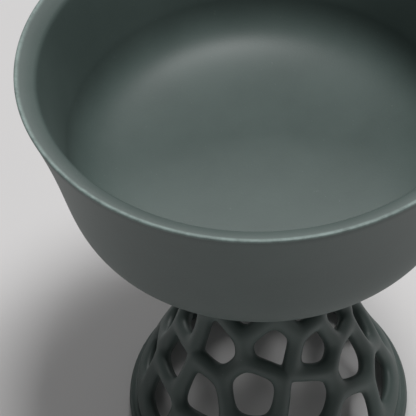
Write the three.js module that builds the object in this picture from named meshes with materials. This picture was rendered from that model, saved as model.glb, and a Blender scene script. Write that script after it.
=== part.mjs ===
// Stem cup: a wide thrown bowl luted onto a flaring openwork foot.
// Millimetres, +Z up, origin at the centre of the face it rests on. The front is -Y.
import * as THREE from 'three';

// Driving sizes of the bowl
const rimRadius = 48;
const bowlHeight = 39.4;
const lipWidth = 4.1;
const lipDrop = 1.9;
const lipEdgeRound = 0.35;
const bowlUnderRadius = 15.8;
const floorThickness = 6.8;
const wallLean = 3.7;
const tenonRadius = 7.5;
const tenonLength = 4;

// Driving sizes of the foot
const footTopRadius = 12;
const footTopHeight = 70;
const footBottomRadius = 34.2;
const shellThickness = 4.4;
const ringHeight = 4;
const ringOuterRadius = 35;
const ringInnerRadius = 30.6;
const slipThickness = 0.8;
const collarHeight = 7.05;
const collarSwell = 1.4;
const seatGap = 0.25;

// Driving sizes of the piercing
const ribWidth = 5.4;
const holeRounding = 0.55;
const knotSwell = 0.5;
const plainBandBelow = 2.6;
const plainBandAbove = 12;
const segmentsPerRib = 2;

// Rows of holes, from the base up: each has its height, the number of holes that fill
// the back, and the places (turn from the front in degrees, height) of those set by hand.
const holeRows = [
  { height: 13.5, behind: 11, front: [[47, 18]] },
  { height: 26.5, behind: 5, front: [[-76, 25.6], [-47, 25.5], [-13, 30], [23, 27], [61, 27.6]] },
  { height: 39, behind: 4, front: [[-86, 38], [-47, 39.5], [3, 43], [37, 38.5], [69, 40.7]] },
  { height: 50.5, behind: 5, front: [[-25, 51]] },
];
const backWander = 1.3;

// Heights where the stacked pieces meet, from the base up
const baseSlipBottom = ringHeight + seatGap;
const shellBottom = baseSlipBottom + slipThickness + seatGap;
const neckSlipBottom = footTopHeight + seatGap;
const collarBottom = neckSlipBottom + slipThickness + seatGap;
const collarTop = collarBottom + collarHeight;
const bowlUnderHeight = collarTop + seatGap;
const bowlFloorHeight = bowlUnderHeight + floorThickness;
const rimHeight = bowlUnderHeight + bowlHeight;

const glaze = () => new THREE.MeshStandardMaterial({ color: 0x475451, roughness: 0.5, metalness: 0 });
const slip = () => new THREE.MeshStandardMaterial({ color: 0x4b5855, roughness: 0.6, metalness: 0 });

const cup = new THREE.Group();

function addPiece(name, geometry, material) {
  const mesh = new THREE.Mesh(geometry, material);
  mesh.name = name;
  cup.add(mesh);
}

const point = (r, z) => new THREE.Vector2(r, z);

// A turned piece: its profile of (radius, height) runs anticlockwise and is spun about Z.
function turned(profile, segments) {
  const geometry = new THREE.LatheGeometry(profile, segments);
  geometry.rotateX(Math.PI / 2);
  return geometry;
}

const curve = (a, b, c, d, steps) => new THREE.CubicBezierCurve(a, b, c, d).getPoints(steps);

// Bowl: steep wall, round shoulder, shallow underside with a tenon, bevelled lip
function bowlProfile() {
  const rimEdge = point(rimRadius, rimHeight - lipEdgeRound);
  const lipInner = point(rimRadius - lipWidth, rimHeight - lipDrop);
  const outside = curve(
    point(bowlUnderRadius, bowlUnderHeight),
    point(rimRadius * 1.04, bowlUnderHeight + bowlHeight * 0.104),
    point(rimRadius * 0.772, rimHeight - bowlHeight * 0.989),
    rimEdge, 12);
  const innerDepth = lipInner.y - bowlFloorHeight;
  const wallFoot = point(lipInner.x - wallLean, lipInner.y - innerDepth * 0.573);
  const wall = curve(
    lipInner,
    point(lipInner.x - wallLean * 0.4, lipInner.y - innerDepth * 0.195),
    point(wallFoot.x + wallLean * 0.27, wallFoot.y + innerDepth * 0.195),
    wallFoot, 3);
  const floor = curve(
    wallFoot,
    point(wallFoot.x - wallLean * 0.27, bowlFloorHeight + innerDepth * 0.085),
    point(wallFoot.x * 0.845, bowlFloorHeight + innerDepth * 0.007),
    point(0, bowlFloorHeight), 8);
  const tenonEnd = bowlUnderHeight - tenonLength;
  return [
    point(0, tenonEnd),
    point(tenonRadius - 0.6, tenonEnd),
    point(tenonRadius, tenonEnd + 0.6),
    point(tenonRadius, bowlUnderHeight),
    ...outside,
    point(rimRadius - lipEdgeRound, rimHeight),
    ...wall,
    ...floor.slice(1),
  ];
}

// Closed ring with rounded sides: inner and outer radius, bottom and top, and how far it swells
function ringProfile(inner, outer, bottom, top, swell, corner) {
  const side = new THREE.QuadraticBezierCurve(
    point(outer, bottom + corner),
    point(outer + 2 * swell, (bottom + top) / 2),
    point(outer, top - corner));
  const profile = [
    point(inner + corner, bottom),
    point(outer - corner, bottom),
    ...side.getPoints(4),
    point(outer - corner, top),
    point(inner + corner, top),
    point(inner, top - corner),
    point(inner, bottom + corner),
  ];
  profile.push(profile[0].clone());
  return profile;
}

// Outline of the pierced shell's outer face, from the bottom edge to the neck
const shellOutline = new THREE.CubicBezierCurve(
  point(footBottomRadius, shellBottom),
  point(footBottomRadius - 7.4, shellBottom + 21),
  point(footTopRadius, footTopHeight - 27),
  point(footTopRadius, footTopHeight));

// Along the outline, reach is the path length over the radius, so that a hole keeps its
// shape on the flat map of turn and reach.
const outlineSteps = 300;
const outline = [];
for (let i = 0, reach = 0; i <= outlineSteps; i += 1) {
  const place = shellOutline.getPoint(i / outlineSteps);
  if (i > 0) {
    const last = outline[i - 1].place;
    reach += place.distanceTo(last) / ((place.x + last.x) / 2);
  }
  const along = shellOutline.getTangent(i / outlineSteps);
  outline.push({ place, reach, out: point(along.y, -along.x) });
}

function outlineAt(value, key) {
  let i = 1;
  while (i < outlineSteps && key(outline[i]) < value) i += 1;
  const [a, b] = [outline[i - 1], outline[i]];
  const share = (value - key(a)) / (key(b) - key(a));
  return {
    place: a.place.clone().lerp(b.place, share),
    reach: a.reach + (b.reach - a.reach) * share,
    out: a.out.clone().lerp(b.out, share),
  };
}
const atReach = (reach) => outlineAt(reach, (step) => step.reach);
const atHeight = (height) => outlineAt(height, (step) => step.place.y);

// Centres of the holes on the map: x is the turn in radians, y the reach
function holeCentres() {
  const centres = [];
  for (const row of holeRows) {
    for (const [turn, height] of row.front) {
      centres.push(point(THREE.MathUtils.degToRad(turn), atHeight(height).reach));
    }
    const start = row.front[row.front.length - 1][0];
    const end = row.front[0][0] + 360;
    for (let i = 1; i <= row.behind; i += 1) {
      const turn = start + ((end - start) * i) / (row.behind + 1);
      const wander = backWander * Math.sin(turn * 0.11 + row.height);
      centres.push(point(THREE.MathUtils.degToRad(turn), atHeight(row.height + wander).reach));
    }
  }
  return centres;
}

// Keep the side of a polygon where (p - on) . away is negative
function clip(polygon, on, away) {
  const kept = [];
  polygon.forEach((p, i) => {
    const q = polygon[(i + 1) % polygon.length];
    const a = p.clone().sub(on).dot(away);
    const b = q.clone().sub(on).dot(away);
    if (a <= 0) kept.push(p);
    if ((a < 0 && b > 0) || (a > 0 && b < 0)) kept.push(p.clone().lerp(q, a / (a - b)));
  });
  return kept;
}

// Every hole's cell is the part of the map that lies nearest to its centre
function cellAround(centre, centres, low, high) {
  let polygon = [point(-2, low), point(2, low), point(2, high), point(-2, high)];
  polygon.forEach((p) => { p.x += centre.x; });
  for (const other of centres) {
    for (const lap of [-2 * Math.PI, 0, 2 * Math.PI]) {
      const rival = point(other.x + lap, other.y);
      const away = rival.clone().sub(centre);
      if (away.length() > 1e-9) polygon = clip(polygon, rival.add(centre).multiplyScalar(0.5), away);
    }
  }
  const shortest = 1e-7;
  return polygon.filter((p, i) => p.distanceTo(polygon[(i + 1) % polygon.length]) > shortest);
}

// Pierced shell: a net of round ribs between the holes, with a plain band above and below
function piercedShell() {
  const positions = [];
  const indices = [];
  const known = new Map();

  // depth is how far a point lies under the outer face, as a share of the thickness.
  // The two ends of the shell are cut level, so there a point goes straight inward.
  function vertex(map, depth, swell = 0, level = false) {
    const { place, out } = atReach(map.y);
    const inward = depth * shellThickness - swell;
    const r = place.x - (level ? inward : out.x * inward);
    const z = place.y - (level ? 0 : out.y * inward);
    const p = [r * Math.sin(map.x), -r * Math.cos(map.x), z];
    const key = p.map((value) => Math.round(value * 1e3)).join();
    if (!known.has(key)) {
      known.set(key, positions.length / 3);
      positions.push(...p);
    }
    return known.get(key);
  }
  function strip(lower, upper) {
    lower.forEach((a, i) => {
      const next = (i + 1) % lower.length;
      const [b, c, d] = [lower[next], upper[next], upper[i]];
      indices.push(a, b, c, a, c, d);
    });
  }

  const centres = holeCentres();
  const low = atHeight(shellBottom + plainBandBelow).reach;
  const high = atHeight(footTopHeight - plainBandAbove).reach;
  const onEdge = (p, edge) => Math.abs(p.y - edge) < 1e-6;
  const edgePoints = { low: new Map(), high: new Map() };

  for (const centre of centres) {
    const corners = cellAround(centre, centres, low, high);
    const loop = [];
    corners.forEach((a, i) => {
      const b = corners[(i + 1) % corners.length];
      for (let k = 0; k < segmentsPerRib; k += 1) {
        const p = a.clone().lerp(b, k / segmentsPerRib);
        p.knot = k === 0 && !onEdge(p, low) && !onEdge(p, high);
        loop.push(p);
      }
    });
    const middle = loop.reduce((sum, p) => sum.add(p), point(0, 0)).divideScalar(loop.length);
    const halfRib = ribWidth / 2 / atReach(middle.y).place.x;
    const reaches = loop.map((p) => p.distanceTo(middle) - halfRib);
    const mean = reaches.reduce((sum, value) => sum + value, 0) / reaches.length;
    const hole = loop.map((p, i) => {
      const rounded = Math.min(reaches[i] + (mean - reaches[i]) * holeRounding, reaches[i] * 1.12);
      return p.clone().sub(middle).normalize().multiplyScalar(rounded).add(middle);
    });
    const outer = loop.map((p) => vertex(p, 0, p.knot ? knotSwell : 0));
    const inner = loop.map((p) => vertex(p, 1, p.knot ? -knotSwell : 0));
    const holeOuter = hole.map((p) => vertex(p, 0.27));
    const holeInner = hole.map((p) => vertex(p, 0.73));
    strip(outer, holeOuter);
    strip(holeOuter, holeInner);
    strip(holeInner, inner);
    for (const p of loop) {
      if (onEdge(p, low)) edgePoints.low.set(vertex(p, 0), p);
      if (onEdge(p, high)) edgePoints.high.set(vertex(p, 0), p);
    }
  }

  // A plain band runs from the net's edge to the end of the shell and is closed there
  function plainBand(points, end, upward) {
    const wrapped = (p) => THREE.MathUtils.euclideanModulo(p.x, 2 * Math.PI);
    const loop = [...points.values()].sort((a, b) => wrapped(a) - wrapped(b));
    if (!upward) loop.reverse();
    const atEnd = loop.map((p) => point(p.x, end));
    const edgeOuter = loop.map((p) => vertex(p, 0));
    const endOuter = atEnd.map((p) => vertex(p, 0, 0, true));
    const endInner = atEnd.map((p) => vertex(p, 1, 0, true));
    const edgeInner = loop.map((p) => vertex(p, 1));
    strip(edgeOuter, endOuter);
    strip(endOuter, endInner);
    strip(endInner, edgeInner);
  }
  plainBand(edgePoints.low, 0, false);
  plainBand(edgePoints.high, outline[outlineSteps].reach, true);

  const geometry = new THREE.BufferGeometry();
  geometry.setAttribute('position', new THREE.Float32BufferAttribute(positions, 3));
  geometry.setIndex(indices);
  return geometry;
}

const neckBore = footTopRadius - shellThickness;

addPiece('bowl', turned(bowlProfile(), 60), glaze());
addPiece('neck_collar', turned(ringProfile(tenonRadius + seatGap, footTopRadius + 1,
  collarBottom, collarTop, collarSwell, 0.8), 36), glaze());
addPiece('neck_slip', turned(ringProfile(neckBore + 0.4, footTopRadius - 0.2,
  neckSlipBottom, neckSlipBottom + slipThickness, 0.3, 0.2), 36), slip());
addPiece('pierced_foot', piercedShell(), glaze());
addPiece('base_slip', turned(ringProfile(ringInnerRadius + 0.4, footBottomRadius - 0.3,
  baseSlipBottom, baseSlipBottom + slipThickness, 0.3, 0.2), 48), slip());
addPiece('foot_ring', turned(ringProfile(ringInnerRadius, ringOuterRadius,
  0, ringHeight, 0.4, 0.9), 48), glaze());

export default cup;
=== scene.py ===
import math

import bmesh
import bpy
from mathutils import Matrix, Vector


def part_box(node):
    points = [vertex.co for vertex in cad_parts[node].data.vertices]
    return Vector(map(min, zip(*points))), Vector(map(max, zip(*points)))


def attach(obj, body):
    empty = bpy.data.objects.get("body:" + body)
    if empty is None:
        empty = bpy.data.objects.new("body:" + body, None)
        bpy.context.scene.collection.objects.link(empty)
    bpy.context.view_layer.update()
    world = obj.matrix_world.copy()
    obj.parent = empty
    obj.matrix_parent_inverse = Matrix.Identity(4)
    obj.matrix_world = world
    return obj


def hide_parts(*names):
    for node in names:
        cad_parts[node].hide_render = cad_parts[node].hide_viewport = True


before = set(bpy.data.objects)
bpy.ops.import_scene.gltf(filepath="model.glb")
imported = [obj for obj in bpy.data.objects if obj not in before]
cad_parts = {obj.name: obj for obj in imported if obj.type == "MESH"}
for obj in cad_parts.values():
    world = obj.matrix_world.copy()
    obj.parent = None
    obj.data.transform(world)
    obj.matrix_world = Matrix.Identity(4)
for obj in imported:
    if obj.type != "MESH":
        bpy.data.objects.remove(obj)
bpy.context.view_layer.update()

# Camera: stands in front of the cup and looks down into the bowl through a long lens.
# The foot runs out of the frame below. Its place is given in rim radii from the rim's centre.
RIM_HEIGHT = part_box("bowl")[1][2]
RIM_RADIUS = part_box("bowl")[1][0]
CAMERA_FROM_RIM = (-0.253, -4.203, 3.839)
CAMERA_PITCH = math.radians(48.61)
CAMERA_ROLL = math.radians(-3.86)
camera_data = bpy.data.cameras.new("camera")
camera_data.lens = 121.15
camera_data.sensor_width = 36
camera_data.clip_start = 0.01
camera = bpy.data.objects.new("camera", camera_data)
camera_place = Vector(CAMERA_FROM_RIM) * RIM_RADIUS + Vector((0, 0, RIM_HEIGHT))
camera_turn = Matrix.Rotation(math.pi / 2 - CAMERA_PITCH, 4, "X") @ Matrix.Rotation(CAMERA_ROLL, 4, "Z")
camera.matrix_world = Matrix.Translation(camera_place) @ camera_turn
bpy.context.scene.collection.objects.link(camera)
bpy.context.scene.camera = camera


# Bowl: the thrown and turned cup itself, in matt green-grey ceramic.
# Its wall ends in a bevelled lip, whose outer edge is coloured paler in patches, and a
# short turned tenon under it stands in the neck collar.
class Value:
    """A socket that can be used in arithmetic."""

    def __init__(self, tree, socket):
        self.tree = tree
        self.socket = socket

    def math(self, operation, other):
        node = self.tree.nodes.new("ShaderNodeMath")
        node.operation = operation
        join(self.tree, node.inputs[0], self)
        join(self.tree, node.inputs[1], other)
        return Value(self.tree, node.outputs[0])

    def __add__(self, other):
        return self.math("ADD", other)

    __radd__ = __add__

    def __mul__(self, other):
        return self.math("MULTIPLY", other)

    __rmul__ = __mul__

    def __pow__(self, exponent):
        return self.math("POWER", exponent)

    def between(self, low, high):
        """0 at low, 1 at high, and straight in between."""
        node = self.tree.nodes.new("ShaderNodeMapRange")
        join(self.tree, node.inputs["Value"], self)
        node.inputs["From Min"].default_value = low
        node.inputs["From Max"].default_value = high
        return Value(self.tree, node.outputs["Result"])


def join(tree, socket, value):
    if isinstance(value, Value):
        tree.links.new(value.socket, socket)
    else:
        socket.default_value = value


class Finish:
    """A material under construction."""

    def __init__(self, name):
        self.material = bpy.data.materials.new(name)
        self.material.use_nodes = True
        self.tree = self.material.node_tree
        self.shader = self.tree.nodes["Principled BSDF"]

    def node(self, kind, settings=None, inputs=None, output=0):
        node = self.tree.nodes.new(kind)
        for key, value in (settings or {}).items():
            setattr(node, key, value)
        for key, value in (inputs or {}).items():
            join(self.tree, node.inputs[key], value)
        return Value(self.tree, node.outputs[output])

    def place(self):
        return self.node("ShaderNodeTexCoord", output="Object")

    def noise(self, scale, detail, roughness=0.55):
        inputs = {"Vector": self.place(), "Scale": scale, "Detail": detail, "Roughness": roughness}
        return self.node("ShaderNodeTexNoise", inputs=inputs, output="Fac")

    def mix(self, share, first, second):
        # A Mix node that holds colours takes its factor at 0, its colours at 6 and 7, and gives 2
        return self.node("ShaderNodeMix", {"data_type": "RGBA"}, {0: share, 6: first, 7: second}, 2)

    def surface(self, color, roughness):
        join(self.tree, self.shader.inputs["Base Color"], color)
        join(self.tree, self.shader.inputs["Roughness"], roughness)

    def bump(self, height, depth):
        normal = self.node("ShaderNodeBump", inputs={"Height": height, "Distance": depth})
        join(self.tree, self.shader.inputs["Normal"], normal)


CLAY_COLOR = (0.063, 0.088, 0.081, 1)
CLAY_DARK = (0.050, 0.071, 0.066, 1)
CLAY_PALE = (0.082, 0.112, 0.104, 1)
# the paler colour laid in patches along the rim's outer edge
PALE_EDGE_COLOR = (0.19, 0.25, 0.235, 1)
DUST_SPECK = (0.17, 0.21, 0.20, 1)
CLOUD_SCALE = 38
GRAIN_SCALE = 2600
SPECK_SCALE = 1500
PALE_PATCH_SCALE = 420
GRAIN_DEPTH = 0.00003
# the depth below the rim and the width in from its outside of that paler band
PALE_EDGE_DEPTH = 0.00075
PALE_EDGE_WIDTH = 0.0011


def pale_rim_edge(finish):
    """1 in patches on the rim's outer edge, where it is coloured paler, and 0 elsewhere."""
    height = finish.node("ShaderNodeSeparateXYZ", inputs={"Vector": finish.place()}, output="Z")
    axes = height.socket.node.outputs
    across = Value(finish.tree, axes["X"])
    along = Value(finish.tree, axes["Y"])
    radius = (across * across + along * along) ** 0.5
    near_edge = height.between(RIM_HEIGHT - PALE_EDGE_DEPTH, RIM_HEIGHT - 0.00012)
    outermost = radius.between(RIM_RADIUS - PALE_EDGE_WIDTH, RIM_RADIUS - 0.0006)
    # patches in which the rim's outer edge is paler
    pale_patches = finish.noise(PALE_PATCH_SCALE, 5, 0.7).between(0.34, 0.6)
    return near_edge * outermost * (0.35 + pale_patches * 0.65)


def clay_finish(name, has_rim=False):
    """Matt fired clay: clouded tone, fine grain and a few faint specks."""
    finish = Finish(name)
    cloud = finish.noise(CLOUD_SCALE, 4)
    grain = finish.noise(GRAIN_SCALE, 2, 0.6)
    specks = finish.noise(SPECK_SCALE, 1, 0.3).between(0.78, 0.81)
    color = finish.mix(cloud.between(0.35, 0.65), CLAY_DARK, CLAY_PALE)
    color = finish.mix(0.5, color, CLAY_COLOR)
    color = finish.mix(grain.between(0.3, 0.7) * 0.22, color, CLAY_PALE)
    color = finish.mix(specks * 0.25, color, DUST_SPECK)
    if has_rim:
        # the rim's outer edge coloured paler in patches
        color = finish.mix(pale_rim_edge(finish), color, PALE_EDGE_COLOR)
    finish.surface(color, 0.47 + cloud * 0.08)
    finish.bump(grain * 0.6 + cloud * 0.4, GRAIN_DEPTH)
    return finish.material


def finished_piece(node, bm, material):
    """Make the mesh a smooth piece that stands for the node of the same name."""
    name = node + "_fine"
    mesh = bpy.data.meshes.new(name)
    bm.to_mesh(mesh)
    bm.free()
    for face in mesh.polygons:
        face.use_smooth = True
    mesh.materials.append(material)
    piece = bpy.data.objects.new(name, mesh)
    bpy.context.scene.collection.objects.link(piece)
    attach(piece, "root")
    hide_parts(node)
    return piece


def curve_points(start, first, second, end, steps):
    """Points of a cubic curve through (radius, height) places, both ends included."""
    points = []
    for step in range(steps + 1):
        t = step / steps
        shares = ((1 - t) ** 3, 3 * t * (1 - t) ** 2, 3 * t * t * (1 - t), t ** 3)
        corners = (start, first, second, end)
        radius = sum(share * corner[0] for share, corner in zip(shares, corners))
        height = sum(share * corner[1] for share, corner in zip(shares, corners))
        points.append((radius, height))
    return points


def spun(profile, turns, closed):
    """Spin (radius, height) points round Z. A closed profile is joined end to start."""
    bm = bmesh.new()
    verts = [bm.verts.new((radius, 0, height)) for radius, height in profile]
    edges = [bm.edges.new(pair) for pair in zip(verts, verts[1:])]
    if closed:
        edges.append(bm.edges.new((verts[-1], verts[0])))
    bmesh.ops.spin(bm, geom=verts + edges, cent=(0, 0, 0), axis=(0, 0, 1), angle=2 * math.pi,
                   steps=turns, use_merge=True)
    bmesh.ops.remove_doubles(bm, verts=bm.verts, dist=1e-7)
    bmesh.ops.recalc_face_normals(bm, faces=bm.faces)
    return bm


LIP_WIDTH = 0.0041
LIP_DROP = 0.0019
LIP_BEND = 0.0007
EDGE_ROUND = 0.00035
UNDER_HEIGHT = 0.0786
UNDER_RADIUS = 0.0158
FLOOR_HEIGHT = 0.0854
WALL_LEAN = 0.0037
WALL_DROP = 0.0176
TENON_RADIUS = 0.0075
TENON_CHAMFER = 0.0006
TENON_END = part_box("bowl")[0][2]
BOWL_TURNS = 192


def rounded_corner(corner, before, after, size):
    """A corner of a profile, rounded off by a short curve."""
    corner = Vector(corner)
    start = corner + (Vector(before) - corner).normalized() * size
    end = corner + (Vector(after) - corner).normalized() * size
    return curve_points(start, start.lerp(corner, 0.6), end.lerp(corner, 0.6), end, 5)


def bowl_outside():
    depth = RIM_HEIGHT - UNDER_HEIGHT
    return curve_points(
        (UNDER_RADIUS, UNDER_HEIGHT),
        (RIM_RADIUS * 1.04, UNDER_HEIGHT + depth * 0.104),
        (RIM_RADIUS * 0.772, RIM_HEIGHT - depth * 0.989),
        (RIM_RADIUS, RIM_HEIGHT - EDGE_ROUND), 60)


def bowl_inside(rim_top):
    """The lip's bevel, the wall and the floor, down to the axis."""
    lip_inner = (RIM_RADIUS - LIP_WIDTH, RIM_HEIGHT - LIP_DROP)
    wall_foot = (lip_inner[0] - WALL_LEAN, lip_inner[1] - WALL_DROP)
    below_lip = (lip_inner[0] - 0.0015, lip_inner[1] - 0.006)
    lip_bend = rounded_corner(lip_inner, rim_top, below_lip, LIP_BEND)
    wall = curve_points(lip_bend[-1], below_lip, (wall_foot[0] + 0.001, wall_foot[1] + 0.006),
                        wall_foot, 16)
    floor = curve_points(wall_foot, (wall_foot[0] - 0.001, FLOOR_HEIGHT + 0.0026),
                         (wall_foot[0] - 0.0062, FLOOR_HEIGHT + 0.0002), (0, FLOOR_HEIGHT), 48)
    return lip_bend + wall[1:] + floor[1:]


def bowl_profile():
    outside = bowl_outside()
    rim_top = (RIM_RADIUS - EDGE_ROUND, RIM_HEIGHT)
    edge = curve_points(outside[-1], (RIM_RADIUS, RIM_HEIGHT - 0.0001),
                        (RIM_RADIUS - 0.0001, RIM_HEIGHT), rim_top, 5)
    tenon = [(0, TENON_END), (TENON_RADIUS - TENON_CHAMFER, TENON_END),
             (TENON_RADIUS, TENON_END + TENON_CHAMFER), (TENON_RADIUS, UNDER_HEIGHT)]
    return tenon + outside + edge[1:] + bowl_inside(rim_top)


finished_piece("bowl", spun(bowl_profile(), BOWL_TURNS, False), clay_finish("bowl_clay", True))


# Pierced foot: a hollow bell thrown on the wheel, cut through with rounded holes while
# leather-hard, and sponged until every rib is round.
RIB_LEVELS = 2
QUAD_LIMIT = math.radians(60)


def merged_copy(node):
    """A node's mesh with its corners merged and its triangles paired into quads."""
    bm = bmesh.new()
    bm.from_mesh(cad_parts[node].data)
    bmesh.ops.remove_doubles(bm, verts=bm.verts, dist=1e-6)
    bmesh.ops.join_triangles(bm, faces=bm.faces, angle_face_threshold=QUAD_LIMIT,
                             angle_shape_threshold=QUAD_LIMIT)
    return bm


foot = finished_piece("pierced_foot", merged_copy("pierced_foot"), clay_finish("foot_clay"))
sponging = foot.modifiers.new("sponged", "SUBSURF")
sponging.levels = RIB_LEVELS
sponging.render_levels = RIB_LEVELS


# Foot ring and neck collar: turned rings of the same clay, with soft edges.
# The ring is what the cup stands on, and the collar holds the bowl's tenon.
RING_BORE = 0.0306
COLLAR_BORE = TENON_RADIUS + 0.00025
ROUND_SHARE = 0.45


def ring_profile(node, inner, corner, swell):
    """A ring's section from its node's box, its bore, its corner size and its swell."""
    low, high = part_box(node)
    outer = high[0] - swell
    bottom = low[2]
    top = high[2]
    pull = corner * ROUND_SHARE
    push = corner * (1 - ROUND_SHARE)
    bulge = outer + swell * 1.33
    side = curve_points((outer, bottom + corner), (bulge, bottom + corner * 1.5),
                        (bulge, top - corner * 1.5), (outer, top - corner), 12)
    bottom_outer = curve_points((outer - corner, bottom), (outer - pull, bottom),
                                (outer, bottom + push), (outer, bottom + corner), 5)
    top_outer = curve_points((outer, top - corner), (outer, top - pull),
                             (outer - pull, top), (outer - corner, top), 5)
    top_inner = curve_points((inner + corner, top), (inner + pull, top),
                             (inner, top - pull), (inner, top - corner), 5)
    bottom_inner = curve_points((inner, bottom + corner), (inner, bottom + pull),
                                (inner + pull, bottom), (inner + corner, bottom), 5)
    return bottom_outer[:-1] + side + top_outer[1:] + top_inner + bottom_inner


finished_piece("foot_ring", spun(ring_profile("foot_ring", RING_BORE, 0.0009, 0.0004), 160, True),
               clay_finish("ring_clay"))
finished_piece("neck_collar", spun(ring_profile("neck_collar", COLLAR_BORE, 0.0008, 0.0014), 120, True),
               clay_finish("collar_clay"))


# Luting slip: a thin bead of wet clay that welds the collar and the foot ring to the
# foot, wiped flush and fired with them.
SLIP_CORNER = 0.0002
SLIP_SWELL = 0.0003
SLIP_BORES = {"neck_slip": 0.008, "base_slip": RING_BORE + 0.0004}
for slip, bore in SLIP_BORES.items():
    bead = spun(ring_profile(slip, bore, SLIP_CORNER, SLIP_SWELL), 120, True)
    finished_piece(slip, bead, clay_finish(slip + "_clay"))


# Floor: a plain pale sheet under the cup.
# It isn't part of the object, and it keeps the cup's shadow.
floor_mesh = bpy.data.meshes.new("floor")
floor_bm = bmesh.new()
bmesh.ops.create_grid(floor_bm, x_segments=1, y_segments=1, size=3)
floor_bm.to_mesh(floor_mesh)
floor_bm.free()
floor_finish = Finish("floor_paper")
floor_finish.surface((0.66, 0.65, 0.65, 1), 0.9)
floor_mesh.materials.append(floor_finish.material)
floor = bpy.data.objects.new("floor", floor_mesh)
bpy.context.scene.collection.objects.link(floor)


# Light: a skylight almost overhead and a little to the right, which the bowl keeps off
# the foot, and a weak window behind that gives the bowl's floor its soft gleam.
LAMP_SIZE = 0.3
WORLD_STRENGTH = 0.13


def soft_lamp(name, place, target, power):
    data = bpy.data.lights.new(name, "AREA")
    data.size = LAMP_SIZE
    data.energy = power
    lamp = bpy.data.objects.new(name, data)
    lamp.location = place
    lamp.rotation_euler = (Vector(target) - Vector(place)).to_track_quat("-Z", "Y").to_euler()
    bpy.context.scene.collection.objects.link(lamp)


soft_lamp("skylight", (0.20, -0.02, 1.2), (0, 0, 0.08), 11)
soft_lamp("window", (0.05, 0.95, 0.72), (0, 0, 0.1), 3.2)
world = bpy.data.worlds.new("studio")
world.use_nodes = True
world.node_tree.nodes["Background"].inputs["Color"].default_value = (1, 1, 1, 1)
world.node_tree.nodes["Background"].inputs["Strength"].default_value = WORLD_STRENGTH
bpy.context.scene.world = world
bpy.context.scene.view_settings.view_transform = "Standard"
